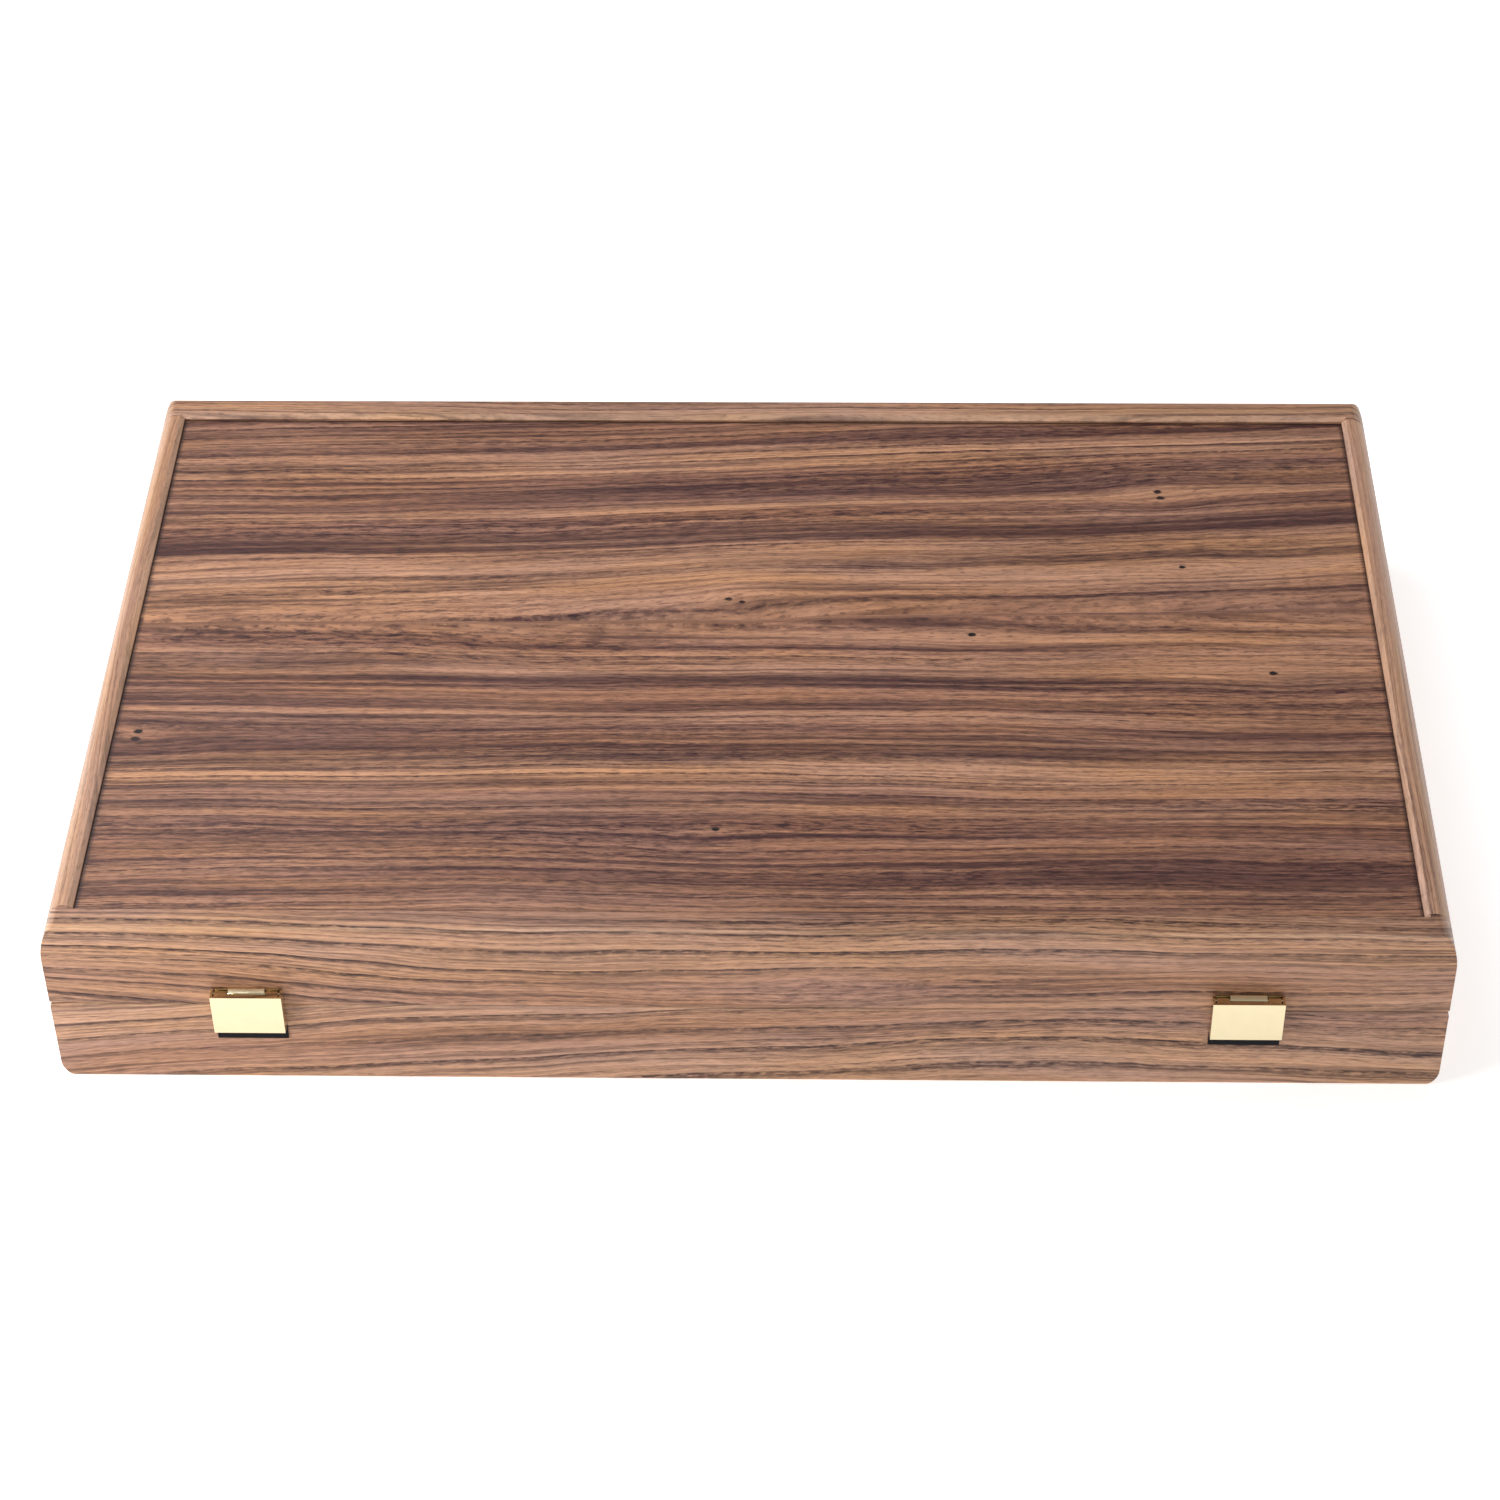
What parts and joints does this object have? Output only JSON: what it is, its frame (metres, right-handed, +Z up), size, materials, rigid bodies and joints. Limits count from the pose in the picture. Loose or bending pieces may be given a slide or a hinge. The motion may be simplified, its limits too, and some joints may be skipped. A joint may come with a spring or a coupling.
{
  "type": "chess set with board",
  "caption": "Walnut folding case that opens to a chess board with squares inlaid in both halves; turned men lie in felted racks, and flap latches close it.",
  "frame": {"origin": "on the surface the case lies on, under the middle of the closed object's box", "axes": "+X to the right along the long side, +Y from the latches to the hinges, +Z up"},
  "size_m": [0.48, 0.3078, 0.073],
  "materials": {
    "rail_walnut": "satin walnut, lighter, grain along each rail",
    "panel_walnut": "satin walnut veneer with dark streaks, grain along X",
    "maple": "satin maple veneer",
    "dark_walnut": "satin dark walnut veneer",
    "cradle_felt": "green felt over shaped foam",
    "floor_felt": "green felt",
    "polished_brass": "polished pale brass",
    "dark_bronze": "black bronze",
    "boxwood": "satin turned boxwood",
    "ebonised_wood": "satin turned ebonised wood"
  },
  "bodies": {
    "base": {"base_front_rail": "rail_walnut", "base_rear_rail": "rail_walnut", "base_left_rail": "rail_walnut", "base_right_rail": "rail_walnut", "base_panel": "panel_walnut", "base_board_leaf": "panel_walnut", "base_light_squares": "maple", "base_dark_squares": "dark_walnut", "base_divider": "panel_walnut", "base_foot_cradle": "cradle_felt", "base_neck_cradle": "cradle_felt", "base_rack_felt": "floor_felt", "left_hinge_base_leaf": "polished_brass", "left_hinge_pin": "polished_brass", "right_hinge_base_leaf": "polished_brass", "right_hinge_pin": "polished_brass", "hinge_screws_base": "polished_brass", "left_latch_strike": "dark_bronze", "right_latch_strike": "dark_bronze", "strike_screws": "dark_bronze", "light_rook_left": "boxwood", "light_knight_left": "boxwood", "light_bishop_left": "boxwood", "light_queen": "boxwood", "light_king": "boxwood", "light_bishop_right": "boxwood", "light_knight_right": "boxwood", "light_rook_right": "boxwood", "light_pawns": "boxwood"},
    "lid": {"lid_front_rail": "rail_walnut", "lid_rear_rail": "rail_walnut", "lid_left_rail": "rail_walnut", "lid_right_rail": "rail_walnut", "lid_panel": "panel_walnut", "lid_board_leaf": "panel_walnut", "lid_light_squares": "maple", "lid_dark_squares": "dark_walnut", "lid_divider": "panel_walnut", "lid_foot_cradle": "cradle_felt", "lid_neck_cradle": "cradle_felt", "lid_rack_felt": "floor_felt", "left_hinge_lid_leaf": "polished_brass", "right_hinge_lid_leaf": "polished_brass", "hinge_screws_lid": "polished_brass", "left_latch_plate": "polished_brass", "left_latch_pin": "polished_brass", "right_latch_plate": "polished_brass", "right_latch_pin": "polished_brass", "latch_plate_screws": "polished_brass", "dark_rook_left": "ebonised_wood", "dark_knight_left": "ebonised_wood", "dark_bishop_left": "ebonised_wood", "dark_queen": "ebonised_wood", "dark_king": "ebonised_wood", "dark_bishop_right": "ebonised_wood", "dark_knight_right": "ebonised_wood", "dark_rook_right": "ebonised_wood", "dark_pawns": "ebonised_wood"},
    "left_flap": {"left_latch_flap": "polished_brass"},
    "right_flap": {"right_latch_flap": "polished_brass"}
  },
  "joints": [
    {"name": "lid_hinge", "type": "hinge", "parent": "base", "child": "lid", "pos_m": [0, 0.15127, 0.0365], "axis": [-1, 0, 0], "range_deg": [0, 180]},
    {"name": "left_flap_hinge", "type": "hinge", "parent": "lid", "child": "left_flap", "pos_m": [-0.171, -0.15077, 0.0437], "axis": [-1, 0, 0], "range_deg": [0, 90]},
    {"name": "right_flap_hinge", "type": "hinge", "parent": "lid", "child": "right_flap", "pos_m": [0.171, -0.15077, 0.0437], "axis": [-1, 0, 0], "range_deg": [0, 90]}
  ]
}
